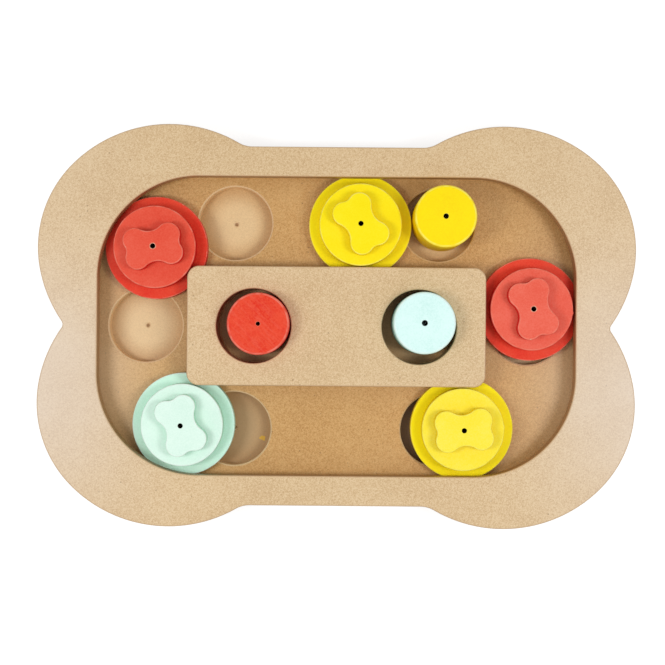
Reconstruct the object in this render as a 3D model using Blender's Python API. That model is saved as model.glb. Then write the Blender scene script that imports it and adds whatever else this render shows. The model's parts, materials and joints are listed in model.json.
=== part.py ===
"""Bone-shaped sliding treat puzzle: a layered fibreboard tray with a T-slot track round a centre
block, five sliding pucks that hide round treat wells, and three loose pegs."""

import math

import bmesh
import bpy

# Centre block and the track round it
BLOCK_LENGTH = 0.150
BLOCK_WIDTH = 0.060
BLOCK_CORNER = 0.006
LANE_WIDTH = 0.045
LIP_OVERHANG = 0.0055
SPACER_CORNER = 0.003

# Bone outline of the board
RIM_WIDTH = 0.015
LOBE_RADIUS = 0.059
FLANK_RADIUS = 0.069
LOBE_FORWARD = 0.022
LOBE_OUTWARD = 0.015
LOBE_START = math.radians(-12)
LOBE_END = math.radians(45)
NOTCH_FILLET = 0.003
JUNCTION_FILLET = 0.014

# Sheet thicknesses, with the gap left at every seat
FLOOR_THICKNESS = 0.004
WELL_DEPTH = 0.008
SPACER_THICKNESS = 0.0065
TOP_THICKNESS = 0.008
SEAT_GAP = 0.0003
TOP_EASE = 0.0015

# Wells, peg sockets and pegs
PEG_DIAMETER = 0.031
PEG_HEIGHT = 0.033
PEG_PLAY = 0.00325
PEG_WALL_GAP = 0.00035
PEG_EASE = 0.0015
PEG_HOLE_DIAMETER = 0.0029
PEG_HOLE_DEPTH = 0.012
WELL_INSET = 0.017
SOCKET_INSET = 0.0335
RIM_EASE = 0.0007
DIMPLE_DIAMETER = 0.003
DIMPLE_DEPTH = 0.0012

# Pucks: flange under the lips, cap in the lane, bone-shaped knob on top
CAP_PLAY = 0.00175
FLANGE_SIDE_PLAY = 0.002
FLANGE_TOP_PLAY = 0.0005
CAP_THICKNESS = 0.008
KNOB_THICKNESS = 0.006
PUCK_HOLE_DIAMETER = 0.0025
PUCK_EASE = 0.0006
BLOCK_GAP = 0.0005
PEG_GAP = 0.0005

# Bone outline of a knob
KNOB_LOBE_RADIUS = 0.006
KNOB_LOBE_X = 0.0085
KNOB_LOBE_Y = 0.0045
KNOB_WAIST = 0.0155
KNOB_NOTCH = 0.001

# Rest places of the pucks and pegs, and the way each knob and peg lies
RED_CORNER_ANGLE = math.radians(146)
MINT_CORNER_ANGLE = math.radians(252.5)
RED_RIGHT_ALONG = 0.0095
RED_RIGHT_ASIDE = 0.0005
YELLOW_BOTTOM_INSET = 0.005
RED_CORNER_TURN = math.radians(10)
MINT_CORNER_TURN = math.radians(-70)
YELLOW_TOP_TURN = math.radians(-58)
RED_RIGHT_TURN = math.radians(-73.5)
YELLOW_BOTTOM_TURN = math.radians(5)
RED_PEG_LEAN = math.radians(21)
MINT_PEG_LEAN = math.radians(44)
YELLOW_PEG_LEAN = math.radians(55)

# Facets: the most that a flat may cut inside its arc, and the flats round an eased edge
FACET_SAG = 0.00008
EASE_STEPS = 2

# Colours as linear red, green and blue
RAW_BOARD = (0.69, 0.50, 0.31)
TRACK_BOARD = (0.55, 0.33, 0.14)
RED_PAINT = (0.79, 0.09, 0.05)
YELLOW_PAINT = (0.93, 0.74, 0.01)
MINT_PAINT = (0.66, 0.91, 0.80)
PALE_MINT_PAINT = (0.72, 0.93, 0.90)
BOARD_ROUGHNESS = 0.85
PAINT_ROUGHNESS = 0.55

# Places that follow from the sizes above
CORNER_X = BLOCK_LENGTH / 2 - BLOCK_CORNER
CORNER_Y = BLOCK_WIDTH / 2 - BLOCK_CORNER
LANE_X = (BLOCK_LENGTH + LANE_WIDTH) / 2
LANE_Y = (BLOCK_WIDTH + LANE_WIDTH) / 2
WELL_DIAMETER = PEG_DIAMETER + 2 * PEG_PLAY
WELL_X = CORNER_X - WELL_INSET
SOCKET_X = BLOCK_LENGTH / 2 - SOCKET_INSET
BASE_TOP = FLOOR_THICKNESS + WELL_DEPTH
SPACER_LOW = BASE_TOP + SEAT_GAP
TOP_LOW = SPACER_LOW + SPACER_THICKNESS + SEAT_GAP
CAP_DIAMETER = LANE_WIDTH - 2 * CAP_PLAY
FLANGE_DIAMETER = LANE_WIDTH + 2 * (LIP_OVERHANG - FLANGE_SIDE_PLAY)
FLANGE_THICKNESS = SPACER_THICKNESS - FLANGE_TOP_PLAY
ORBIT = BLOCK_CORNER + CAP_DIAMETER / 2 + BLOCK_GAP
BESIDE_BLOCK = CORNER_Y + ORBIT


def arc(centre, radius, start, end):
    """Points from one angle to another about a centre, both ends kept."""
    step = 2 * math.acos(1 - FACET_SAG / radius)
    steps = math.ceil(abs(end - start) / step)
    angles = [start + (end - start) * i / steps for i in range(steps + 1)]
    return [(centre[0] + radius * math.cos(a), centre[1] + radius * math.sin(a)) for a in angles]


def circle(radius, centre=(0, 0)):
    return arc(centre, radius, 0, 2 * math.pi)[:-1]


def mirrored(quarter):
    """A closed loop from the points of its first quadrant, given from the X axis to the Y axis."""
    half = quarter + [(-x, y) for x, y in reversed(quarter)]
    loop = half + [(-x, -y) for x, y in half]
    return [p for i, p in enumerate(loop) if math.dist(p, loop[i - 1]) > 1e-7]


def rounded_rectangle(length, width, corner):
    centre = (length / 2 - corner, width / 2 - corner)
    return mirrored(arc(centre, corner, 0, math.pi / 2))


def board_outline():
    """Each lobe is one arc that runs into a flatter flank on both sides. A fillet joins the lobes
    at the ends, and another joins each lobe to the straight long side."""
    lobe = (CORNER_X + LOBE_FORWARD, CORNER_Y + LOBE_OUTWARD)
    flatter = LOBE_RADIUS - FLANK_RADIUS
    end_flank = (lobe[0] + flatter * math.cos(LOBE_START), lobe[1] + flatter * math.sin(LOBE_START))
    side_flank = (lobe[0] + flatter * math.cos(LOBE_END), lobe[1] + flatter * math.sin(LOBE_END))
    side = BLOCK_WIDTH / 2 + LANE_WIDTH + RIM_WIDTH

    notch_reach = FLANK_RADIUS + NOTCH_FILLET
    notch = (end_flank[0] + math.sqrt(notch_reach ** 2 - end_flank[1] ** 2), 0)
    notch_angle = math.atan2(-end_flank[1], notch[0] - end_flank[0])

    rise = side + JUNCTION_FILLET - side_flank[1]
    run = math.sqrt((FLANK_RADIUS + JUNCTION_FILLET) ** 2 - rise ** 2)
    junction = (side_flank[0] - run, side + JUNCTION_FILLET)
    junction_angle = math.atan2(rise, -run)

    return mirrored(
        arc(notch, NOTCH_FILLET, math.pi, math.pi + notch_angle)
        + arc(end_flank, FLANK_RADIUS, notch_angle, LOBE_START)
        + arc(lobe, LOBE_RADIUS, LOBE_START, LOBE_END)
        + arc(side_flank, FLANK_RADIUS, LOBE_END, junction_angle)
        + arc(junction, JUNCTION_FILLET, junction_angle - math.pi, -math.pi / 2)
    )


def hollow_radius(across, along, lobe_radius, middle):
    """Radius of the hollow that touches two lobes and leaves the given half size between them."""
    drop = middle - along
    return (across ** 2 + drop ** 2 - lobe_radius ** 2) / (2 * (lobe_radius - drop))


def knob_outline():
    """Four round lobes, joined by a hollow at each end and a wider one along each side."""
    lobe = (KNOB_LOBE_X, KNOB_LOBE_Y)
    end = KNOB_LOBE_X + KNOB_LOBE_RADIUS - KNOB_NOTCH
    waist = KNOB_WAIST / 2
    end_radius = hollow_radius(KNOB_LOBE_Y, KNOB_LOBE_X, KNOB_LOBE_RADIUS, end)
    waist_radius = hollow_radius(KNOB_LOBE_X, KNOB_LOBE_Y, KNOB_LOBE_RADIUS, waist)
    end_centre = (end + end_radius, 0)
    waist_centre = (0, waist + waist_radius)
    end_angle = math.atan2(-KNOB_LOBE_Y, end_centre[0] - KNOB_LOBE_X)
    waist_angle = math.atan2(waist_centre[1] - KNOB_LOBE_Y, -KNOB_LOBE_X)
    return mirrored(
        arc(end_centre, end_radius, math.pi, math.pi + end_angle)
        + arc(lobe, KNOB_LOBE_RADIUS, end_angle, waist_angle)
        + arc(waist_centre, waist_radius, waist_angle - math.pi, -math.pi / 2)
    )


def inset(loop, distance):
    """The loop moved to its left, which is into the solid for an outline that runs anticlockwise."""
    moved = []
    for i, (x, y) in enumerate(loop):
        before, after = loop[i - 1], loop[(i + 1) % len(loop)]
        first = math.atan2(y - before[1], x - before[0])
        second = math.atan2(after[1] - y, after[0] - x)
        half_turn = math.remainder(second - first, 2 * math.pi) / 2
        reach = distance / math.cos(half_turn)
        normal = first + half_turn + math.pi / 2
        moved.append((x + reach * math.cos(normal), y + reach * math.sin(normal)))
    return moved


def eased(loop, low, high, low_ease, high_ease, side=1):
    """Level loops up a wall, with its two edges rounded over. A hole's wall has its solid on the
    other side, -1."""
    turns = [math.pi / 2 * i / EASE_STEPS for i in range(EASE_STEPS + 1)]
    levels = []
    for turn in turns if low_ease else turns[-1:]:
        levels.append((low_ease * (1 - math.sin(turn)), low + low_ease * (1 - math.cos(turn))))
    for turn in turns if high_ease else turns[:1]:
        levels.append((high_ease * (1 - math.cos(turn)), high - high_ease * (1 - math.sin(turn))))
    return [(inset(loop, side * distance), height) for distance, height in levels]


def stack(bm, levels):
    """A wall through level loops of as many points; gives its first and last rings."""
    rings = [[bm.verts.new((x, y, height)) for x, y in loop] for loop, height in levels]
    for lower, upper in zip(rings, rings[1:]):
        for i in range(len(lower)):
            bm.faces.new((lower[i - 1], lower[i], upper[i], upper[i - 1]))
    return rings[0], rings[-1]


def cap(bm, rings):
    """A flat face inside the first ring with the other rings left open in it."""
    edges = []
    for ring in rings:
        for i in range(len(ring)):
            edge = bm.edges.get((ring[i - 1], ring[i]))
            edges.append(edge or bm.edges.new((ring[i - 1], ring[i])))
    bmesh.ops.triangle_fill(bm, edges=edges, use_beauty=True)


def point(bm, ring, tip):
    """A cone from a ring down to the drill's point."""
    centre = bm.verts.new(tip)
    for i in range(len(ring)):
        bm.faces.new((ring[i - 1], ring[i], centre))


def drilled(bm, centre, radius, top, floor, rim_ease, tip_radius):
    """A blind round hole with a pointed middle; gives the ring at its mouth."""
    wall = circle(radius, centre)
    bottom, mouth = stack(bm, eased(wall, floor, top, 0, rim_ease, -1))
    tip_ring = bottom
    if tip_radius < radius:
        tip_ring = [bm.verts.new((x, y, floor)) for x, y in circle(tip_radius, centre)]
        cap(bm, [bottom, tip_ring])
    point(bm, tip_ring, (centre[0], centre[1], floor - DIMPLE_DEPTH))
    return mouth


def slab(outline, thickness, ease, holes=(), hole_ease=0):
    """A flat sheet cut to an outline, with through holes."""
    bm = bmesh.new()
    low_ring, high_ring = stack(bm, eased(outline, 0, thickness, 0, ease))
    lows, highs = [low_ring], [high_ring]
    for hole in holes:
        low_ring, high_ring = stack(bm, eased(hole, 0, thickness, 0, hole_ease, -1))
        lows.append(low_ring)
        highs.append(high_ring)
    cap(bm, lows)
    cap(bm, highs)
    return bm


def add_piece(name, bm, colour, roughness, place=(0, 0, 0), turn=0, parent=None):
    """One named object with its own material, placed under its parent."""
    bmesh.ops.recalc_face_normals(bm, faces=bm.faces[:])
    mesh = bpy.data.meshes.new(name)
    bm.to_mesh(mesh)
    bm.free()
    mesh.shade_smooth()
    mesh.set_sharp_from_angle(angle=math.radians(35))
    material = bpy.data.materials.new(name)
    material.use_nodes = True
    shader = material.node_tree.nodes["Principled BSDF"]
    shader.inputs["Base Color"].default_value = (*colour, 1)
    shader.inputs["Roughness"].default_value = roughness
    shader.inputs["Metallic"].default_value = 0
    mesh.materials.append(material)
    piece = bpy.data.objects.new(name, mesh)
    piece.location = place
    piece.rotation_euler = (0, 0, turn)
    piece.parent = parent
    bpy.context.scene.collection.objects.link(piece)
    return piece


def add_pivot(name, place, turn, parent):
    pivot = bpy.data.objects.new(name, None)
    pivot.location = place
    pivot.rotation_euler = (0, 0, turn)
    pivot.parent = parent
    bpy.context.scene.collection.objects.link(pivot)
    return pivot


def well_centres():
    """Four wells along the long lanes and one at the middle of each end lane."""
    sides = [(x, y) for x in (-WELL_X, WELL_X) for y in (-LANE_Y, LANE_Y)]
    return sides + [(-LANE_X, 0), (LANE_X, 0)]


def socket_centres():
    return [(-SOCKET_X, 0), (SOCKET_X, 0)]


def socket_loops():
    return [circle(WELL_DIAMETER / 2, centre) for centre in socket_centres()]


def add_base_board(board):
    bm = bmesh.new()
    low_ring, high_ring = stack(bm, eased(board_outline(), 0, BASE_TOP, 0, 0))
    mouths = [high_ring]
    for centre in well_centres():
        mouths.append(drilled(bm, centre, WELL_DIAMETER / 2, BASE_TOP, FLOOR_THICKNESS,
                              RIM_EASE, DIMPLE_DIAMETER / 2))
    for centre in socket_centres():
        mouths.append(drilled(bm, centre, WELL_DIAMETER / 2, BASE_TOP, FLOOR_THICKNESS,
                              0, DIMPLE_DIAMETER / 2))
    cap(bm, [low_ring])
    cap(bm, mouths)
    add_piece("base_board", bm, TRACK_BOARD, BOARD_ROUGHNESS, parent=board)


def add_frame_sheets(board):
    """The spacer ring that makes the slot's height, and the lipped frame on top of it."""
    slot = rounded_rectangle(BLOCK_LENGTH + 2 * (LANE_WIDTH + LIP_OVERHANG),
                             BLOCK_WIDTH + 2 * (LANE_WIDTH + LIP_OVERHANG),
                             BLOCK_CORNER + LANE_WIDTH + LIP_OVERHANG)
    spacer = slab(board_outline(), SPACER_THICKNESS, 0, [slot])
    add_piece("frame_spacer", spacer, RAW_BOARD, BOARD_ROUGHNESS, (0, 0, SPACER_LOW), parent=board)

    opening = rounded_rectangle(BLOCK_LENGTH + 2 * LANE_WIDTH, BLOCK_WIDTH + 2 * LANE_WIDTH,
                                BLOCK_CORNER + LANE_WIDTH)
    frame = slab(board_outline(), TOP_THICKNESS, TOP_EASE, [opening], TOP_EASE)
    add_piece("top_frame", frame, RAW_BOARD, BOARD_ROUGHNESS, (0, 0, TOP_LOW), parent=board)


def add_centre_sheets(board):
    """The narrower spacer under the centre block, and the block with its two peg sockets."""
    foot = rounded_rectangle(BLOCK_LENGTH - 2 * LIP_OVERHANG, BLOCK_WIDTH - 2 * LIP_OVERHANG,
                             SPACER_CORNER)
    spacer = slab(foot, SPACER_THICKNESS, 0, socket_loops())
    add_piece("centre_spacer", spacer, RAW_BOARD, BOARD_ROUGHNESS, (0, 0, SPACER_LOW), parent=board)

    outline = rounded_rectangle(BLOCK_LENGTH, BLOCK_WIDTH, BLOCK_CORNER)
    block = slab(outline, TOP_THICKNESS, TOP_EASE, socket_loops(), RIM_EASE)
    add_piece("centre_block", block, RAW_BOARD, BOARD_ROUGHNESS, (0, 0, TOP_LOW), parent=board)


def add_puck(prefix, colour, pivot, reach, turn):
    """Flange, cap and knob of one puck, on the axis that lies at the given reach from its pivot."""
    hole = [circle(PUCK_HOLE_DIAMETER / 2)]
    flange = slab(circle(FLANGE_DIAMETER / 2), FLANGE_THICKNESS, PUCK_EASE, hole)
    cap_disc = slab(circle(CAP_DIAMETER / 2), CAP_THICKNESS, PUCK_EASE, hole)
    knob = slab(knob_outline(), KNOB_THICKNESS, PUCK_EASE, hole)
    flange_low = BASE_TOP + SEAT_GAP
    cap_low = flange_low + FLANGE_THICKNESS + SEAT_GAP
    knob_low = cap_low + CAP_THICKNESS + SEAT_GAP
    add_piece(prefix + "_flange", flange, colour, PAINT_ROUGHNESS, (reach, 0, flange_low), turn, pivot)
    add_piece(prefix + "_cap", cap_disc, colour, PAINT_ROUGHNESS, (reach, 0, cap_low), turn, pivot)
    add_piece(prefix + "_knob", knob, colour, PAINT_ROUGHNESS, (reach, 0, knob_low), turn, pivot)


def add_corner_puck(prefix, colour, side, angle, turn, board):
    """A puck in a corner of the track, which swings about the block's own corner."""
    corner = (-CORNER_X, side * CORNER_Y, 0)
    pivot = add_pivot(prefix + "_pivot", corner, angle, board)
    add_puck(prefix, colour, pivot, ORBIT, turn - angle)


def add_lane_puck(prefix, colour, centre, turn, board):
    """A puck in a straight lane, which slides along it."""
    pivot = add_pivot(prefix + "_pivot", (*centre, 0), 0, board)
    add_puck(prefix, colour, pivot, 0, turn)


def peg_centre(well, lean):
    """A loose peg stands off the middle of its well, close to the wall."""
    shift = PEG_PLAY - PEG_WALL_GAP
    return (well[0] + shift * math.cos(lean), well[1] + shift * math.sin(lean))


def add_peg(name, colour, centre, board):
    bm = bmesh.new()
    body = circle(PEG_DIAMETER / 2)
    low_ring, high_ring = stack(bm, eased(body, 0, PEG_HEIGHT, PEG_EASE, PEG_EASE))
    hole_radius = PEG_HOLE_DIAMETER / 2
    mouth = drilled(bm, (0, 0), hole_radius, PEG_HEIGHT, PEG_HEIGHT - PEG_HOLE_DEPTH, 0, hole_radius)
    cap(bm, [low_ring])
    cap(bm, [high_ring, mouth])
    add_piece(name, bm, colour, PAINT_ROUGHNESS, (*centre, FLOOR_THICKNESS + SEAT_GAP), 0, board)


def add_pucks_and_pegs(board):
    yellow_peg = peg_centre((WELL_X, LANE_Y), YELLOW_PEG_LEAN)
    add_peg("red_peg", RED_PAINT, peg_centre((-SOCKET_X, 0), RED_PEG_LEAN), board)
    add_peg("mint_peg", PALE_MINT_PAINT, peg_centre((SOCKET_X, 0), MINT_PEG_LEAN), board)
    add_peg("yellow_peg", YELLOW_PAINT, yellow_peg, board)

    add_corner_puck("red_corner", RED_PAINT, 1, RED_CORNER_ANGLE, RED_CORNER_TURN, board)
    add_corner_puck("mint_corner", MINT_PAINT, -1, MINT_CORNER_ANGLE, MINT_CORNER_TURN, board)

    apart = (FLANGE_DIAMETER + PEG_DIAMETER) / 2 + PEG_GAP
    back = math.sqrt(apart ** 2 - (yellow_peg[1] - BESIDE_BLOCK) ** 2)
    yellow_top = (yellow_peg[0] - back, BESIDE_BLOCK)
    red_right = (LANE_X + RED_RIGHT_ASIDE, RED_RIGHT_ALONG)
    yellow_bottom = (CORNER_X - YELLOW_BOTTOM_INSET, -BESIDE_BLOCK)
    add_lane_puck("yellow_top", YELLOW_PAINT, yellow_top, YELLOW_TOP_TURN, board)
    add_lane_puck("red_right", RED_PAINT, red_right, RED_RIGHT_TURN, board)
    add_lane_puck("yellow_bottom", YELLOW_PAINT, yellow_bottom, YELLOW_BOTTOM_TURN, board)


def main():
    for old in list(bpy.data.objects):
        bpy.data.objects.remove(old)
    board = add_pivot("board", (0, 0, 0), 0, None)
    add_base_board(board)
    add_frame_sheets(board)
    add_centre_sheets(board)
    add_pucks_and_pegs(board)
    bpy.context.view_layer.update()
    for piece in bpy.data.objects:
        x, y, z = (round(value * 1000, 2) for value in piece.matrix_world.translation)
        print(f"{piece.name}: origin at {x}, {y}, {z} mm")


main()
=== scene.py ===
import json
import math

import bpy
from mathutils import Matrix, Vector

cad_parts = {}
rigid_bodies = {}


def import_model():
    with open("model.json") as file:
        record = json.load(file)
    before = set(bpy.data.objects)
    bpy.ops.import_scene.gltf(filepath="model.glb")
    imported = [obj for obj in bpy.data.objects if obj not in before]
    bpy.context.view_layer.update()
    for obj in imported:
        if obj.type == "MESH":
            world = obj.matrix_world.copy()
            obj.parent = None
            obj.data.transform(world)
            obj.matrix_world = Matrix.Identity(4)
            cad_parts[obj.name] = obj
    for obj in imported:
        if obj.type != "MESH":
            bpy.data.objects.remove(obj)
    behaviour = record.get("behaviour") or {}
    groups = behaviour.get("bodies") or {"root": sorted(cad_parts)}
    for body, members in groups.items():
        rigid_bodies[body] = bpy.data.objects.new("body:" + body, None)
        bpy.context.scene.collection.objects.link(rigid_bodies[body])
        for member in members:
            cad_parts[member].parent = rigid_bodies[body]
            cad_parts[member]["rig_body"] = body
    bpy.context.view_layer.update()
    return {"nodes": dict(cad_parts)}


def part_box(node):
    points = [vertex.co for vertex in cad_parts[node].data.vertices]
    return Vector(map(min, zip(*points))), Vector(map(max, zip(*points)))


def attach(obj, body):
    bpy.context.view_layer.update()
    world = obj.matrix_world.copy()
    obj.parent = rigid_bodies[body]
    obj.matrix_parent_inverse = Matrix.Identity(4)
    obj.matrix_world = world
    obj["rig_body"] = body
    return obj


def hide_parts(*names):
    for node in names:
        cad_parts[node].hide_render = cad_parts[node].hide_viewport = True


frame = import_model()
print("frame loaded with", len(frame["nodes"]), "nodes")


# Modelling steps, as by hand

profileAxis = (0, -1, 0)  # a turned profile is drawn in the XZ plane, where arcs turn from X towards Z
outlineBit = 0.0008  # length of one edge along an outline's arcs
profileBit = 0.0002  # and along a turned profile's arcs
weldDistance = 0.000004
cutterPass = 0.002  # how far a cutter passes through a face
smoothAngle = math.radians(32)


def restAll():  # object mode, with nothing picked
    if bpy.context.object and bpy.context.object.mode == "EDIT":
        bpy.ops.object.mode_set(mode="OBJECT")
    bpy.ops.object.select_all(action="DESELECT")


def pickPiece(piece):
    restAll()
    piece.select_set(True)
    bpy.context.view_layer.objects.active = piece


def applyModifier(piece, kind, **settings):
    pickPiece(piece)
    modifier = piece.modifiers.new("step", kind)
    for key, value in settings.items():
        setattr(modifier, key, value)
    bpy.ops.object.modifier_apply(modifier="step")


def drawPath(name, start, steps, axis=(0, 0, 1), bit=outlineBit):
    restAll()
    bpy.ops.mesh.primitive_plane_add(size=0.01)
    piece = bpy.context.object
    piece.name = name
    piece.data.name = name
    bpy.context.tool_settings.mesh_select_mode = (True, False, False)
    bpy.ops.object.mode_set(mode="EDIT")
    bpy.ops.mesh.select_all(action="SELECT")
    bpy.ops.mesh.merge(type="CENTER")  # the pen is one vertex
    bpy.ops.transform.translate(value=start)
    here = Vector(start)
    for step in steps:
        if "to" in step:
            there = Vector(step["to"])
            bpy.ops.mesh.extrude_vertices_move(TRANSFORM_OT_translate={"value": there - here})
        else:
            centre = Vector(step["about"])
            arm = here - centre
            count = max(4, math.ceil(abs(step["turn"]) * arm.length / bit))
            bpy.ops.mesh.spin(steps=count, angle=-step["turn"], center=centre, axis=axis)
            there = centre + Matrix.Rotation(step["turn"], 3, Vector(axis)) @ arm
        here = there
    bpy.ops.object.mode_set(mode="OBJECT")
    return piece


def mirrorQuarter(piece):  # a quarter becomes the whole outline
    applyModifier(piece, "MIRROR", use_axis=(True, True, False), merge_threshold=0.00001)


def closeMesh(piece):  # merged, with its faces pointing out
    pickPiece(piece)
    bpy.ops.object.mode_set(mode="EDIT")
    bpy.ops.mesh.select_all(action="SELECT")
    bpy.ops.mesh.remove_doubles(threshold=weldDistance)
    bpy.ops.mesh.normals_make_consistent(inside=False)
    bpy.ops.object.mode_set(mode="OBJECT")


def raiseSheet(piece, thickness):
    pickPiece(piece)
    bpy.ops.object.mode_set(mode="EDIT")
    bpy.ops.mesh.select_all(action="SELECT")
    bpy.ops.mesh.remove_doubles(threshold=weldDistance)
    bpy.ops.mesh.edge_face_add()
    bpy.ops.mesh.extrude_region_move(TRANSFORM_OT_translate={"value": (0, 0, thickness)})
    bpy.ops.object.mode_set(mode="OBJECT")
    closeMesh(piece)


def turnPiece(name, centre, start, steps, sides):  # a profile of radius and height, spun about its axis
    def lathe(spot):
        return (centre[0] + spot[0], centre[1], spot[1])

    route = []
    for step in steps:
        if "to" in step:
            route.append({"to": lathe(step["to"])})
        else:
            route.append({"about": lathe(step["about"]), "turn": step["turn"]})
    piece = drawPath(name, lathe(start), route, profileAxis, profileBit)
    bpy.ops.object.mode_set(mode="EDIT")
    bpy.ops.mesh.select_all(action="SELECT")
    bpy.ops.mesh.spin(steps=sides, angle=2 * math.pi, center=(*centre, 0), axis=(0, 0, 1))
    bpy.ops.object.mode_set(mode="OBJECT")
    closeMesh(piece)
    return piece


def cutAway(piece, cutter):
    applyModifier(piece, "BOOLEAN", operation="DIFFERENCE", object=cutter, solver="EXACT")
    bpy.data.objects.remove(cutter)


def roundRim(piece, height, width, segments, inside=lambda spot: True):
    mesh = piece.data
    walls = set()
    for face in mesh.polygons:
        if abs(face.normal.z) < 0.5:
            walls.update(face.edge_keys)
    for group in (mesh.polygons, mesh.edges, mesh.vertices):
        group.foreach_set("select", [False] * len(group))
    for edge in mesh.edges:
        ends = [mesh.vertices[i].co for i in edge.vertices]
        level = all(abs(end.z - height) < 0.00001 for end in ends)
        edge.select = level and edge.key in walls and inside(ends[0])
    bpy.context.tool_settings.mesh_select_mode = (False, True, False)
    pickPiece(piece)
    bpy.ops.object.mode_set(mode="EDIT")
    bpy.ops.mesh.bevel(offset=width, segments=segments, profile=0.5, affect="EDGES", clamp_overlap=False)
    bpy.ops.object.mode_set(mode="OBJECT")


def finishPiece(piece, finish, node):
    pickPiece(piece)
    bpy.ops.object.shade_smooth_by_angle(angle=smoothAngle)
    applyModifier(piece, "WEIGHTED_NORMAL", weight=100, keep_sharp=True)
    piece.data.materials.clear()
    piece.data.materials.append(finish)
    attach(piece, frame["nodes"][node]["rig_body"])
    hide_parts(node)


# Finishes


def tone(red, green, blue):  # a colour as it shows on a screen, 0 to 255
    shares = [part / 255 for part in (red, green, blue)]
    return tuple(s / 12.92 if s <= 0.04045 else ((s + 0.055) / 1.055) ** 2.4 for s in shares) + (1,)


def newFinish(name):
    finish = bpy.data.materials.new(name)
    finish.use_nodes = True
    tree = finish.node_tree
    return finish, tree, tree.nodes["Principled BSDF"]


def put(tree, kind, feeds=(), **settings):
    node = tree.nodes.new("ShaderNode" + kind)
    for key, value in settings.items():
        setattr(node, key, value)
    for key, value in dict(feeds).items():
        if isinstance(value, bpy.types.NodeSocket):
            tree.links.new(value, node.inputs[key])
        else:
            node.inputs[key].default_value = value
    return node


def calc(tree, operation, *terms):
    return put(tree, "Math", enumerate(terms), operation=operation).outputs[0]


def grow(tree, value, low, high, least=0.0, most=1.0):  # least at low, most at high, smooth between
    feeds = {"Value": value, "From Min": low, "From Max": high, "To Min": least, "To Max": most}
    return put(tree, "MapRange", feeds, interpolation_type="SMOOTHSTEP").outputs[0]


def mixTone(tree, share, first, second):
    return put(tree, "Mix", {0: share, 6: first, 7: second}, data_type="RGBA").outputs[2]


def noise(tree, place, scale, detail=2.0, roughness=0.5, distortion=0.0):
    feeds = {"Vector": place, "Scale": scale, "Detail": detail, "Roughness": roughness,
             "Distortion": distortion}
    return put(tree, "TexNoise", feeds).outputs["Fac"]


def distance(tree, place, spot):
    return put(tree, "VectorMath", {0: place, 1: spot}, operation="DISTANCE").outputs["Value"]


def roughen(tree, shader, height, relief):
    strength, depth = relief
    bump = put(tree, "Bump", {"Height": height, "Strength": strength, "Distance": depth})
    tree.links.new(bump.outputs[0], shader.inputs["Normal"])


def threeTones(tree, value, stops):  # stops are places and tones, from dark to light
    ramp = put(tree, "ValToRGB", {"Fac": value})
    ramp.color_ramp.elements[0].position = stops[0][0]
    ramp.color_ramp.elements[0].color = stops[0][1]
    ramp.color_ramp.elements[1].position = stops[2][0]
    ramp.color_ramp.elements[1].color = stops[2][1]
    middle = ramp.color_ramp.elements.new(stops[1][0])
    middle.color = stops[1][1]
    return ramp.outputs["Color"]


def levelOf(tree):  # 1 on a level face, 0 on a wall
    normal = put(tree, "NewGeometry").outputs["Normal"]
    upright = put(tree, "SeparateXYZ", {0: normal}).outputs["Z"]
    return calc(tree, "ABSOLUTE", upright)


boardGrain = {
    "mottle": 40, "fibre": 1300, "grain": 3400, "strands": 240, "specks": 280,  # scales of the patterns
    "shares": (0.50, 0.38, 0.12),  # of fibre, grain and mottle in the shade
    "stops": (0.42, 0.50, 0.58),  # shades at which the dark, plain and light tones stand
    "speckShare": 0.6,
    "roughness": (0.48, 0.38),
    "specular": 0.5,
    "relief": (0.35, 0.00015),  # strength and height of the bumps
}


def boardFinish(name, look):  # raw fibreboard, with its fibres, specks and cut walls, a painted sheen towards both ends and a rim tone along the rims
    finish, tree, shader = newFinish(name)
    place = put(tree, "TexCoord").outputs["Object"]
    pressed = put(tree, "Mapping", {"Vector": place, "Scale": (1, 1, 3.5)}).outputs[0]
    mottle = noise(tree, place, boardGrain["mottle"], 3)
    fibre = noise(tree, pressed, boardGrain["fibre"], 4, 0.6, 0.6)
    grain = noise(tree, pressed, boardGrain["grain"], 2)
    fibreShare, grainShare, mottleShare = boardGrain["shares"]
    shade = calc(tree, "MULTIPLY_ADD", fibre, fibreShare, calc(tree, "MULTIPLY", grain, grainShare))
    shade = calc(tree, "MULTIPLY_ADD", mottle, mottleShare, shade)
    tones = (look["dark"], look["face"], look["light"])
    face = threeTones(tree, shade, list(zip(boardGrain["stops"], tones)))
    face = mixTone(tree, strandShare(tree, place), face, look["light"])
    face = mixTone(tree, speckShare(tree, place, look["bareOfSpecks"]), face, look["speck"])
    # painted sheen, paler towards the sheets' ends
    face = mixTone(tree, paintedSheenShare(tree, place, mottle), face, look["paintedSheen"])
    level = levelOf(tree)
    darkStop, _, lightStop = boardGrain["stops"]
    wall = mixTone(tree, grow(tree, shade, darkStop, lightStop), look["wallDark"], look["wall"])
    if "wells" in look:
        reach, inWell = wellReach(tree, place, look["wells"])
        face = wellTones(tree, place, face, reach, inWell, look["wells"])
        wall = mixTone(tree, inWell, wall, look["wells"]["wall"])
    colour = mixTone(tree, grow(tree, level, 0.75, 0.25), face, wall)
    # rim tone: on the frame and block sheets a painted shade along the rounded rims, broken up by the
    # fibres; on the track a paler cut rim
    rim = calc(tree, "MULTIPLY", grow(tree, level, 0.97, 0.85), grow(tree, level, 0.05, 0.3))
    rim = calc(tree, "MULTIPLY", rim, grow(tree, fibre, 0.35, 0.6, 0.6, 0.95))
    colour = mixTone(tree, rim, colour, look["rim"])
    tree.links.new(colour, shader.inputs["Base Color"])
    tree.links.new(grow(tree, grain, 0.3, 0.7, *boardGrain["roughness"]), shader.inputs["Roughness"])
    shader.inputs["Specular IOR Level"].default_value = boardGrain["specular"]
    relief = calc(tree, "MULTIPLY_ADD", fibre, 0.6, calc(tree, "MULTIPLY", grain, 0.4))
    roughen(tree, shader, relief, boardGrain["relief"])
    return finish


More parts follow.
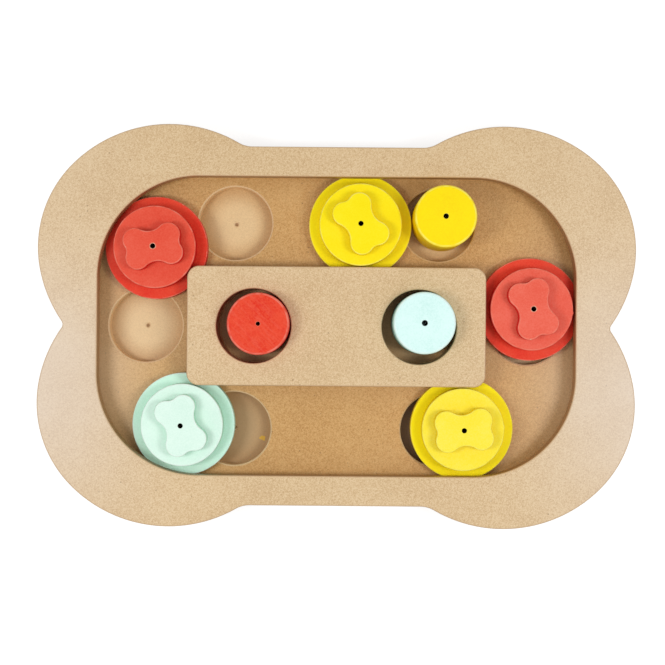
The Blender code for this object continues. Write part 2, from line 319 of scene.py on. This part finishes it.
def strandShare(tree, place):  # long fibres that lie two ways
    leftward = {"Vector": place, "Rotation": (0, 0, 0.6), "Scale": (1, 7, 4)}
    rightward = {"Vector": place, "Rotation": (0, 0, -0.9), "Scale": (7, 1, 4)}
    strands = [noise(tree, put(tree, "Mapping", way).outputs[0], boardGrain["strands"], 2)
               for way in (leftward, rightward)]
    return grow(tree, calc(tree, "MAXIMUM", *strands), 0.60, 0.74, 0, 0.30)


def speckShare(tree, place, bareOfSpecks):  # dark bits of bark, in the few cells that aren't bare
    cells = put(tree, "TexVoronoi", {"Vector": place, "Scale": boardGrain["specks"]})
    pick = put(tree, "SeparateColor", {0: cells.outputs["Color"]}).outputs[0]
    chosen = calc(tree, "GREATER_THAN", pick, bareOfSpecks)
    speck = calc(tree, "MULTIPLY", grow(tree, cells.outputs["Distance"], 0.14, 0.05), chosen)
    return calc(tree, "MULTIPLY", speck, boardGrain["speckShare"])


def paintedSheenShare(tree, place, mottle):  # a painted sheen: the sheets are painted paler towards both ends, most just below the middle
    along, across, _ = put(tree, "SeparateXYZ", {0: place}).outputs
    ends = grow(tree, calc(tree, "ABSOLUTE", along), 0.07, 0.15)
    middle = calc(tree, "ABSOLUTE", calc(tree, "ADD", across, 0.03))
    share = calc(tree, "MULTIPLY", ends, grow(tree, middle, 0.09, 0.0, 0.1, 0.6))
    return calc(tree, "MULTIPLY", share, grow(tree, mottle, 0.3, 0.7, 0.85, 1.0))


def wellReach(tree, place, wells):  # how far from the nearest well's axis, and 1 inside a well
    folded = put(tree, "VectorMath", {0: place}, operation="ABSOLUTE").outputs[0]
    flatFolded = put(tree, "VectorMath", {0: folded, 1: (1, 1, 0)}, operation="MULTIPLY").outputs[0]
    spans = [distance(tree, flatFolded, (*spot, 0)) for spot in wells["centres"]]
    reach = spans[0]
    for span in spans[1:]:
        reach = calc(tree, "MINIMUM", reach, span)
    height = put(tree, "SeparateXYZ", {0: place}).outputs["Z"]
    under = grow(tree, height, wells["top"] - 0.0002, wells["top"] - 0.0012)
    within = grow(tree, reach, wells["radius"] + 0.0003, wells["radius"])
    return reach, calc(tree, "MULTIPLY", under, within)


def wellTones(tree, place, face, reach, inWell, wells):  # floors, with a painted shade towards their rims, painted shadows in the lower wells, a drill point and a fleck
    # painted shade: each well's floor is darker towards its rim
    paintedRimShade = grow(tree, reach, 0.4 * wells["radius"], wells["radius"])
    floor = mixTone(tree, paintedRimShade, wells["light"], wells["dark"])
    face = mixTone(tree, calc(tree, "MULTIPLY", inWell, wells["floorShare"]), face, floor)
    rag = wells["rag"]
    ragged = calc(tree, "MULTIPLY_ADD", noise(tree, place, 900, 2), rag, -rag / 2)
    tip = grow(tree, calc(tree, "ADD", reach, ragged), *wells["tipReach"])
    face = mixTone(tree, calc(tree, "MULTIPLY", tip, inWell), face, wells["tip"])
    along, across, _ = put(tree, "SeparateXYZ", {0: place}).outputs
    lower = calc(tree, "MULTIPLY", inWell, calc(tree, "LESS_THAN", across, wells["paintedShadowsBelow"]))
    # painted shadows darken the floors of the lower wells
    for side, paintedShadow, share in wells["paintedShadows"]:
        inPaintedShadow = calc(tree, "MULTIPLY", lower, calc(tree, side, along, 0))
        face = mixTone(tree, calc(tree, "MULTIPLY", inPaintedShadow, share), face, paintedShadow)
    span = calc(tree, "ADD", distance(tree, place, wells["fleckSpot"]), ragged)
    fleck = grow(tree, span, *wells["fleckReach"], 0, 0.85)
    return mixTone(tree, fleck, face, wells["fleck"])


paintGrain = {
    "broad": 60, "fine": 1300, "peel": 420, "highlightPatches": 260, "chips": 620,  # scales of the patterns
    "stops": (0.38, 0.50, 0.62),  # shades at which the deep, main and pale tones stand
    "sawScale": 900,
    "sawSlant": -0.75,
    "blotches": (280, 4),  # scale, and strength against the saw marks
    "holeLip": 0.0006,
    "roughness": (0.40, 0.52),
    "specular": 0.15,
    "relief": (0.2, 0.0001),  # strength and height of the bumps
}


def paintFinish(name, look, centre, holeRadius):  # matt paint, with a painted highlight and worn chips along the rims
    finish, tree, shader = newFinish(name)
    place = put(tree, "TexCoord").outputs["Object"]
    centred = put(tree, "Mapping", {"Vector": place, "Location": (-centre[0], -centre[1], 0)}).outputs[0]
    broad = noise(tree, centred, paintGrain["broad"], 3)
    fine = noise(tree, centred, paintGrain["fine"], 3, 0.6)
    peel = noise(tree, centred, paintGrain["peel"], 1)
    shade = calc(tree, "MULTIPLY_ADD", broad, 0.5, calc(tree, "MULTIPLY", fine, 0.5))
    tones = (look["deep"], look["main"], look["pale"])
    colour = threeTones(tree, shade, list(zip(paintGrain["stops"], tones)))
    if "sawn" in look:
        colour = sawMarks(tree, centred, colour, look)
    level = levelOf(tree)
    # walls take the side tone, a painted shade: deeper paint where the walls turn from the light
    colour = mixTone(tree, grow(tree, level, 0.7, 0.3), colour, look["side"])
    # rims get a painted highlight in patches; chips there show bare wood where worn
    rim = calc(tree, "MULTIPLY", grow(tree, level, 0.99, 0.90), grow(tree, level, 0.15, 0.5))
    highlightPatches = grow(tree, noise(tree, centred, paintGrain["highlightPatches"], 3), 0.35, 0.65, 0.2, 0.75)
    colour = mixTone(tree, calc(tree, "MULTIPLY", rim, highlightPatches), colour, look["thinPaintAndHighlight"])
    chips = grow(tree, noise(tree, centred, paintGrain["chips"], 2), 0.70, 0.76, 0, look["worn"])
    colour = mixTone(tree, calc(tree, "MULTIPLY", rim, chips), colour, look["bare"])
    flat = put(tree, "VectorMath", {0: centred, 1: (1, 1, 0)}, operation="MULTIPLY").outputs[0]
    reach = put(tree, "VectorMath", {0: flat}, operation="LENGTH").outputs["Value"]
    lip = grow(tree, reach, holeRadius + paintGrain["holeLip"], holeRadius + 0.0001)
    lip = calc(tree, "MULTIPLY", lip, grow(tree, fine, 0.35, 0.6, 0.3 * look["worn"], look["worn"]))
    colour = mixTone(tree, lip, colour, look["bare"])
    # painted shade down each hole's bore
    inHole = grow(tree, reach, holeRadius + 0.0002, holeRadius)
    boreShade = calc(tree, "MULTIPLY", inHole, grow(tree, level, 0.6, 0.3))
    colour = mixTone(tree, boreShade, colour, look["boreShade"])
    tree.links.new(colour, shader.inputs["Base Color"])
    tree.links.new(grow(tree, peel, 0.3, 0.7, *paintGrain["roughness"]), shader.inputs["Roughness"])
    shader.inputs["Specular IOR Level"].default_value = paintGrain["specular"]
    relief = calc(tree, "MULTIPLY_ADD", peel, 0.6, calc(tree, "MULTIPLY", fine, 0.4))
    roughen(tree, shader, relief, paintGrain["relief"])
    return finish


def sawMarks(tree, centred, colour, look):  # saw marks and blotches that show through the paint
    slant = {"Vector": centred, "Rotation": (0, 0, paintGrain["sawSlant"]), "Scale": (7, 1, 1)}
    slanted = put(tree, "Mapping", slant, vector_type="TEXTURE").outputs[0]
    streaks = grow(tree, noise(tree, slanted, paintGrain["sawScale"], 3, 0.6), 0.45, 0.65, 0, look["sawn"])
    colour = mixTone(tree, streaks, colour, look["thinPaintAndHighlight"])
    scale, strength = paintGrain["blotches"]
    blotches = grow(tree, noise(tree, centred, scale, 3, 0.6), 0.48, 0.68, 0, strength * look["sawn"])
    return mixTone(tree, blotches, colour, look["deep"])


# The board's five sheets

board = {
    "block": (0.150, 0.060, 0.006),  # length, width and corner radius
    "lane": 0.045,
    "lip": 0.0055,
    "footCorner": 0.003,
    "waistRim": 0.015,
    "lobeRadius": 0.059,
    "flankRadius": 0.069,
    "lobeShift": (0.022, 0.015),  # from the block's corner centre
    "lobeFrom": math.radians(-12),
    "lobeTo": math.radians(45),
    "notchFillet": 0.003,
    "junctionFillet": 0.014,
    "wellRadius": 0.01875,
    "wellFloor": 0.004,
    "wellInset": 0.017,
    "socketInset": 0.0335,
    "tip": (0.0015, 0.0012),  # radius and depth of the drill point's mark
    "wellRim": 0.0007,
    "topRim": 0.0009,
    "sawnRim": 0.00025,
    "socketRim": 0.0001,
    "wellSides": 120,
    "topSteps": 4,  # steps across a rounded top rim, and across a sawn one
    "sawnSteps": 2,
}
blockLength, blockWidth, blockCorner = board["block"]
cornerX = blockLength / 2 - blockCorner
cornerY = blockWidth / 2 - blockCorner
wellSpots = [(cornerX - board["wellInset"], (blockWidth + board["lane"]) / 2),
             ((blockLength + board["lane"]) / 2, 0)]
socketX = blockLength / 2 - board["socketInset"]


def polar(centre, radius, angle):
    return (centre[0] + radius * math.cos(angle), centre[1] + radius * math.sin(angle))


def boneOutline(name, height):
    lobe = (cornerX + board["lobeShift"][0], cornerY + board["lobeShift"][1])
    flank, flatter = board["flankRadius"], board["lobeRadius"] - board["flankRadius"]
    endFlank = polar(lobe, flatter, board["lobeFrom"])
    sideFlank = polar(lobe, flatter, board["lobeTo"])
    side = blockWidth / 2 + board["lane"] + board["waistRim"]
    notchX = endFlank[0] + math.sqrt((flank + board["notchFillet"]) ** 2 - endFlank[1] ** 2)
    notchAngle = math.atan2(-endFlank[1], notchX - endFlank[0])
    rise = side + board["junctionFillet"] - sideFlank[1]
    run = math.sqrt((flank + board["junctionFillet"]) ** 2 - rise ** 2)
    junctionAngle = math.atan2(rise, -run)
    steps = [
        {"about": (notchX, 0, height), "turn": notchAngle},
        {"about": (*endFlank, height), "turn": board["lobeFrom"] - notchAngle},
        {"about": (*lobe, height), "turn": board["lobeTo"] - board["lobeFrom"]},
        {"about": (*sideFlank, height), "turn": junctionAngle - board["lobeTo"]},
        {"about": (sideFlank[0] - run, side + board["junctionFillet"], height),
         "turn": math.pi / 2 - junctionAngle},
        {"to": (0, side, height)},
    ]
    piece = drawPath(name, (notchX - board["notchFillet"], 0, height), steps)
    mirrorQuarter(piece)
    return piece


def roundedOutline(name, length, width, corner, height):
    steps = [
        {"to": (length / 2, width / 2 - corner, height)},
        {"about": (length / 2 - corner, width / 2 - corner, height), "turn": math.pi / 2},
        {"to": (0, width / 2, height)},
    ]
    piece = drawPath(name, (length / 2, 0, height), steps)
    mirrorQuarter(piece)
    return piece


def wellCutter(spot, floor, top, rim):
    radius = board["wellRadius"]
    tipRadius, tipDepth = board["tip"]
    past = 0.2 * rim  # the chamfer runs on past the face, for a clean cut
    steps = [
        {"to": (tipRadius, floor)},
        {"to": (radius, floor)},
        {"to": (radius, top - rim)},
        {"to": (radius + rim + past, top + past)},
        {"to": (radius + rim + past, top + cutterPass)},
        {"to": (0, top + cutterPass)},
    ]
    return turnPiece("wellCutter", spot, (0, floor - tipDepth), steps, board["wellSides"])


def makeBaseSheet():
    low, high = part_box("base_board")
    piece = boneOutline("baseSheet", low.z)
    raiseSheet(piece, high.z - low.z)
    roundRim(piece, high.z, board["sawnRim"], board["sawnSteps"])
    roundRim(piece, low.z, board["sawnRim"], board["sawnSteps"])
    for x, y in wellSpots:
        for spot in {(x, y), (-x, y), (x, -y), (-x, -y)}:  # a well on an axis is cut once
            cutAway(piece, wellCutter(spot, board["wellFloor"], high.z, board["wellRim"]))
    for x in (-socketX, socketX):
        cutAway(piece, wellCutter((x, 0), board["wellFloor"], high.z, board["socketRim"]))
    return piece


def cutOpening(piece, length, width, corner, low, high):
    opening = roundedOutline("openingCutter", length, width, corner, low - cutterPass)
    raiseSheet(opening, high - low + 2 * cutterPass)
    cutAway(piece, opening)


def drillHole(piece, spot, radius, low, high, sides):
    steps = [
        {"to": (radius, low - cutterPass)},
        {"to": (radius, high + cutterPass)},
        {"to": (0, high + cutterPass)},
    ]
    cutAway(piece, turnPiece("drill", spot, (0, low - cutterPass), steps, sides))


def makeFrameRing(name, node, overhang, topRim):
    low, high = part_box(node)
    reach = 2 * (board["lane"] + overhang)
    piece = boneOutline(name, low.z)
    raiseSheet(piece, high.z - low.z)
    cutOpening(piece, blockLength + reach, blockWidth + reach, blockCorner + reach / 2, low.z, high.z)
    roundRim(piece, high.z, topRim, board["topSteps"])
    roundRim(piece, low.z, board["sawnRim"], board["sawnSteps"])
    return piece


def bySocket(spot):
    return abs(spot.y) < board["wellRadius"] + board["wellRim"]


def makeCentreSheet(name, node, overhang, corner, topRim):
    low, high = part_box(node)
    piece = roundedOutline(name, blockLength - 2 * overhang, blockWidth - 2 * overhang, corner, low.z)
    raiseSheet(piece, high.z - low.z)
    roundRim(piece, high.z, topRim, board["topSteps"])
    roundRim(piece, low.z, board["sawnRim"], board["sawnSteps"])
    for x in (-socketX, socketX):
        drillHole(piece, (x, 0), board["wellRadius"], low.z, high.z, board["wellSides"])
    roundRim(piece, high.z, min(topRim, board["wellRim"]), board["topSteps"], bySocket)
    return piece


rawLook = {
    "face": tone(213, 183, 139), "light": tone(223, 197, 157), "dark": tone(194, 161, 117),
    "speck": tone(118, 84, 52), "wall": tone(174, 134, 88), "wallDark": tone(142, 102, 62),
    "rim": tone(206, 174, 136), "paintedSheen": tone(215, 201, 189), "bareOfSpecks": 0.84,
}
trackLook = {
    "face": tone(203, 156, 91), "light": tone(215, 172, 111), "dark": tone(182, 133, 70),
    "speck": tone(124, 86, 48), "wall": tone(174, 134, 88), "wallDark": tone(142, 102, 62),
    "rim": tone(232, 202, 158), "paintedSheen": tone(216, 192, 162), "bareOfSpecks": 0.76,
    "wells": {
        "centres": wellSpots + [(socketX, 0)], "radius": board["wellRadius"], "top": 0.012,
        # the dark floor tone is a painted shade towards each well's rim
        "light": tone(255, 233, 186), "dark": tone(200, 168, 122), "wall": tone(234, 200, 150),
        "floorShare": 0.5, "rag": 0.0022,  # rag is how far the edges of the marks wander
        "tip": tone(158, 116, 70), "tipReach": (0.0016, 0.0007),
        "paintedShadowsBelow": -0.02,
        "paintedShadows": [("LESS_THAN", tone(160, 122, 76), 0.6),  # painted shadows darkening the lower wells, left and right, beside the pucks
                   ("GREATER_THAN", tone(112, 80, 46), 0.75)],
        "fleck": tone(226, 178, 30), "fleckReach": (0.0016, 0.0011),
        "fleckSpot": (-0.0378, -0.058, board["wellFloor"]),
    },
}

rawBoard = boardFinish("rawBoard", rawLook)
trackBoard = boardFinish("trackBoard", trackLook)
baseSheet = makeBaseSheet()
finishPiece(baseSheet, trackBoard, "base_board")
spacerRing = makeFrameRing("spacerRing", "frame_spacer", board["lip"], board["sawnRim"])
finishPiece(spacerRing, rawBoard, "frame_spacer")
topFrame = makeFrameRing("topFrame", "top_frame", 0, board["topRim"])
finishPiece(topFrame, rawBoard, "top_frame")
blockFoot = makeCentreSheet("blockFoot", "centre_spacer", board["lip"], board["footCorner"],
                            board["sawnRim"])
finishPiece(blockFoot, rawBoard, "centre_spacer")
blockTop = makeCentreSheet("blockTop", "centre_block", 0, blockCorner, board["topRim"])
finishPiece(blockTop, rawBoard, "centre_block")
print("board sheets cut")


# Paints

dowel = {"bare": tone(226, 205, 172), "boreShade": tone(70, 46, 28), "worn": 0.0}  # the wood under the paint, and a painted shade down the bores
# side tones are a painted shade on the paint's walls
redLook = dict(dowel, main=tone(231, 64, 40), pale=tone(234, 76, 50), deep=tone(225, 50, 30),
               side=tone(214, 22, 22), thinPaintAndHighlight=tone(243, 138, 119), worn=0.7)
# cap and knob looks are their flanges' paints made paler and whiter by a painted sheen, strongest on the
# right-hand pucks
redCornerCapPaintedSheen = dict(redLook, main=tone(227, 84, 61), pale=tone(230, 94, 72), deep=tone(221, 72, 50))
redRightCapPaintedSheen = dict(redLook, main=tone(232, 100, 79), pale=tone(235, 110, 90), deep=tone(227, 88, 67))
redPegLook = dict(redLook, main=tone(227, 70, 42), deep=tone(220, 40, 20), sawn=0.1, worn=0.1)
yellowLook = dict(dowel, main=tone(255, 236, 0), pale=tone(255, 239, 0), deep=tone(255, 231, 0),
                  side=tone(250, 214, 0), thinPaintAndHighlight=tone(254, 241, 112))
yellowTopCapPaintedSheen = dict(yellowLook, main=tone(249, 229, 12), pale=tone(250, 232, 30), deep=tone(248, 225, 0))
yellowBottomCapPaintedSheen = dict(yellowLook, main=tone(247, 229, 64), pale=tone(248, 232, 84),
                        deep=tone(246, 225, 44))
yellowPegLook = dict(yellowLook, main=tone(250, 222, 0), pale=tone(251, 226, 0), deep=tone(248, 216, 0))
mintLook = dict(dowel, main=tone(208, 247, 227), pale=tone(214, 249, 231), deep=tone(200, 242, 219),
                side=tone(182, 236, 208), thinPaintAndHighlight=tone(236, 252, 244))
mintCapPaintedSheen = dict(mintLook, main=tone(219, 244, 230), pale=tone(224, 247, 234), deep=tone(212, 240, 225))
mintPegLook = dict(dowel, main=tone(215, 246, 241), pale=tone(221, 249, 245), deep=tone(204, 240, 233),
                   side=tone(186, 232, 220), thinPaintAndHighlight=tone(234, 251, 247))


# Pucks: a flange under the lips, a cap in the lane and a bone-shaped knob

puck = {
    "holeRadius": 0.00125,
    "flangeRim": 0.0006,
    "capRim": 0.0009,
    "holeRim": 0.0002,
    "knobRim": 0.0009,
    "lobeRadius": 0.006,
    "lobe": (0.0085, 0.0045),
    "waist": 0.0155,
    "notch": 0.001,
    "sides": 144,
    "drillSides": 40,
    "knobBit": 0.0004,  # length of one edge along the knob's arcs
    "knobSteps": 5,  # steps across a knob's rounded rim, and across a hole's
    "holeSteps": 2,
    "nub": (0.0004, math.radians(1.6)),  # how far a cap's holding nub stands out, and half its width
    "capWall": 0.0195,  # a nub is drawn from this radius outwards
}
pucks = [
    {"name": "redCorner", "node": "red_corner", "slot": "red_paint", "turn": 10,
     "flange": redLook, "cap": redCornerCapPaintedSheen},
    {"name": "yellowTop", "node": "yellow_top", "slot": "yellow_paint", "turn": -58,
     "flange": yellowLook, "cap": yellowTopCapPaintedSheen},
    {"name": "redRight", "node": "red_right", "slot": "red_paint", "turn": -73.5, "nub": -5,
     "flange": redLook, "cap": redRightCapPaintedSheen},
    {"name": "mintCorner", "node": "mint_corner", "slot": "mint_paint", "turn": -70,
     "flange": mintLook, "cap": mintCapPaintedSheen},
    {"name": "yellowBottom", "node": "yellow_bottom", "slot": "yellow_paint", "turn": 5, "nub": 4,
     "flange": yellowLook, "cap": yellowBottomCapPaintedSheen},
]


def middleOf(low, high):
    return ((low.x + high.x) / 2, (low.y + high.y) / 2)


def roundedProfile(radius, rim, hole, lip, low, high):  # out, up and back to the hole, with round rims
    quarter = math.pi / 2
    return [
        {"to": (radius - rim, low)},
        {"about": (radius - rim, low + rim), "turn": quarter},
        {"to": (radius, high - rim)},
        {"about": (radius - rim, high - rim), "turn": quarter},
        {"to": (hole + lip, high)},
        {"about": (hole + lip, high - lip), "turn": quarter},
    ]


def makeDisc(name, node, rim):  # a round disc with a hole through its middle
    low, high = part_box(node)
    radius, hole = (high.x - low.x) / 2, puck["holeRadius"]
    steps = roundedProfile(radius, rim, hole, puck["holeRim"], low.z, high.z)
    steps.append({"to": (hole, low.z)})
    return turnPiece(name, (0, 0), (hole, low.z), steps, puck["sides"])


def addNub(piece, centre, angle):  # the stub of a holding tab, left on the cap's wall
    proud, spread = puck["nub"]
    for vertex in piece.data.vertices:
        x, y = vertex.co.x - centre[0], vertex.co.y - centre[1]
        off = abs(math.remainder(math.atan2(y, x) - angle, 2 * math.pi)) / spread
        radius = math.hypot(x, y)
        if off < 2 and radius > puck["capWall"]:
            stretch = 1 + proud * math.exp(-off * off) / radius
            vertex.co.x = centre[0] + x * stretch
            vertex.co.y = centre[1] + y * stretch


def hollowRadius(across, along, middle):  # of the hollow that touches two lobes and leaves a half size
    drop = middle - along
    return (across ** 2 + drop ** 2 - puck["lobeRadius"] ** 2) / (2 * (puck["lobeRadius"] - drop))


def byHole(spot):
    return math.hypot(spot.x, spot.y) < 2 * puck["holeRadius"]


def makeKnob(name, node):
    low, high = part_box(node)
    lobeX, lobeY = puck["lobe"]
    end = lobeX + puck["lobeRadius"] - puck["notch"]
    endRadius = hollowRadius(lobeY, lobeX, end)
    waistRadius = hollowRadius(lobeX, lobeY, puck["waist"] / 2)
    waistY = puck["waist"] / 2 + waistRadius
    endAngle = math.atan2(-lobeY, end + endRadius - lobeX)
    waistAngle = math.atan2(waistY - lobeY, -lobeX)
    steps = [
        {"about": (end + endRadius, 0, low.z), "turn": endAngle},
        {"about": (lobeX, lobeY, low.z), "turn": waistAngle - endAngle},
        {"about": (0, waistY, low.z), "turn": math.pi / 2 - waistAngle},
    ]
    piece = drawPath(name, (end, 0, low.z), steps, bit=puck["knobBit"])
    mirrorQuarter(piece)
    raiseSheet(piece, high.z - low.z)
    roundRim(piece, high.z, puck["knobRim"], puck["knobSteps"])
    roundRim(piece, low.z, puck["holeRim"], puck["holeSteps"])
    drillHole(piece, (0, 0), puck["holeRadius"], low.z, high.z, puck["drillSides"])
    roundRim(piece, high.z, puck["holeRim"], puck["holeSteps"], byHole)
    return piece


def copyPiece(model, name, centre, turn=0):  # a copy with its own mesh, turned and set in its place
    pickPiece(model)
    bpy.ops.object.duplicate()
    piece = bpy.context.object
    piece.name = name
    piece.data.name = name
    bpy.ops.transform.rotate(value=-math.radians(turn), orient_axis="Z", center_override=(0, 0, 0))
    bpy.ops.transform.translate(value=(*centre, 0))
    bpy.ops.object.transform_apply(location=True, rotation=True, scale=True)
    return piece


flangeModel = makeDisc("flangeModel", "red_corner_flange", puck["flangeRim"])
capModel = makeDisc("capModel", "red_corner_cap", puck["capRim"])
knobModel = makeKnob("knobModel", "red_corner_knob")
for each in pucks:
    low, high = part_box(each["node"] + "_flange")
    centre = middleOf(low, high)
    flange = copyPiece(flangeModel, each["name"] + "Flange", centre)
    cap = copyPiece(capModel, each["name"] + "Cap", centre)
    knob = copyPiece(knobModel, each["name"] + "Knob", centre, each["turn"])
    if "nub" in each:
        addNub(cap, centre, math.radians(each["nub"]))
    flangePaint = paintFinish(each["name"] + "FlangePaint", each["flange"], centre, puck["holeRadius"])
    capPaintWithSheen = paintFinish(each["name"] + "CapPaintWithSheen", each["cap"], centre, puck["holeRadius"])
    finishPiece(flange, flangePaint, each["node"] + "_flange")
    finishPiece(cap, capPaintWithSheen, each["node"] + "_cap")
    finishPiece(knob, capPaintWithSheen, each["node"] + "_knob")
for model in (flangeModel, capModel, knobModel):
    bpy.data.objects.remove(model)
print("pucks turned and painted")


# Loose pegs, turned from dowel

peg = {"rim": 0.0015, "holeDepth": 0.012, "holeRim": 0.0003, "tip": 0.0012, "sides": 128}
pegs = [
    {"name": "redPeg", "node": "red_peg", "slot": "red_paint", "look": redPegLook, "hole": 0.001},
    {"name": "mintPeg", "node": "mint_peg", "slot": "pale_mint_paint", "look": mintPegLook,
     "hole": 0.00145},
    {"name": "yellowPeg", "node": "yellow_peg", "slot": "yellow_paint", "look": yellowPegLook,
     "hole": 0.0013},
]


def makePeg(name, node, hole):
    low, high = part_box(node)
    centre = middleOf(low, high)
    deep = high.z - peg["holeDepth"]
    steps = roundedProfile((high.x - low.x) / 2, peg["rim"], hole, peg["holeRim"], low.z, high.z)
    steps.append({"to": (hole, deep)})
    steps.append({"to": (0, deep - peg["tip"])})
    return turnPiece(name, centre, (0, low.z), steps, peg["sides"]), centre


for each in pegs:
    piece, centre = makePeg(each["name"], each["node"], each["hole"])
    paint = paintFinish(each["name"] + "Paint", each["look"], centre, each["hole"])
    finishPiece(piece, paint, each["node"])
print("pegs turned and painted")


# Stage, light and camera

stage = {"radius": 4.0, "floor": 0.50, "lift": 0.70, "drop": 0.0001, "sky": 0.60}
lamps = [
    {"name": "leftSoftbox", "place": (-0.34, -0.06, 0.55), "size": (0.13, 0.2), "power": 1.11},
    {"name": "rightSoftbox", "place": (0.34, -0.06, 0.55), "size": (0.13, 0.2), "power": 1.11},
]
view = {"place": (-0.0019, -0.0030, 0.6831), "turn": 0.0082, "lens": 70.9}


def makeFloor():
    restAll()
    bpy.ops.mesh.primitive_circle_add(vertices=128, radius=stage["radius"], fill_type="NGON",
                                      location=(0, 0, -stage["drop"]))
    floor = bpy.context.object
    floor.name = "studioFloor"
    finish, tree, shader = newFinish("paleFloor")
    shader.inputs["Base Color"].default_value = (stage["floor"],) * 3 + (1,)
    shader.inputs["Roughness"].default_value = 0.9
    shader.inputs["Specular IOR Level"].default_value = 0.0
    path = put(tree, "LightPath").outputs
    seen = calc(tree, "MAXIMUM", path["Is Camera Ray"], path["Is Glossy Ray"])
    seen = calc(tree, "MAXIMUM", seen, path["Is Transmission Ray"])
    shader.inputs["Emission Color"].default_value = (1, 1, 1, 1)
    tree.links.new(calc(tree, "MULTIPLY", seen, stage["lift"]), shader.inputs["Emission Strength"])
    floor.data.materials.append(finish)


def makeSky():
    world = bpy.data.worlds.new("paleSky")
    bpy.context.scene.world = world
    world.use_nodes = True
    tree = world.node_tree
    path = put(tree, "LightPath").outputs
    seen = calc(tree, "MAXIMUM", path["Is Camera Ray"], path["Is Transmission Ray"])
    tree.links.new(grow(tree, seen, 0, 1, stage["sky"], 1.0), tree.nodes["Background"].inputs["Strength"])
    tree.nodes["Background"].inputs["Color"].default_value = (1, 1, 1, 1)


def makeLamps():
    for each in lamps:
        lamp = bpy.data.lights.new(each["name"], "AREA")
        lamp.shape = "RECTANGLE"
        lamp.size, lamp.size_y = each["size"]
        lamp.energy = each["power"]
        holder = bpy.data.objects.new(each["name"], lamp)
        holder.location = each["place"]
        holder.rotation_euler = (-Vector(each["place"])).to_track_quat("-Z", "Y").to_euler()
        bpy.context.scene.collection.objects.link(holder)


def makeCamera():
    camera = bpy.data.objects.new("photoCamera", bpy.data.cameras.new("photoCamera"))
    camera.location = view["place"]
    camera.rotation_euler = (0, 0, view["turn"])
    camera.data.lens = view["lens"]
    bpy.context.scene.collection.objects.link(camera)
    bpy.context.scene.camera = camera


makeFloor()
makeSky()
makeLamps()
makeCamera()
bpy.context.scene.view_settings.view_transform = "Standard"
print("stage set")
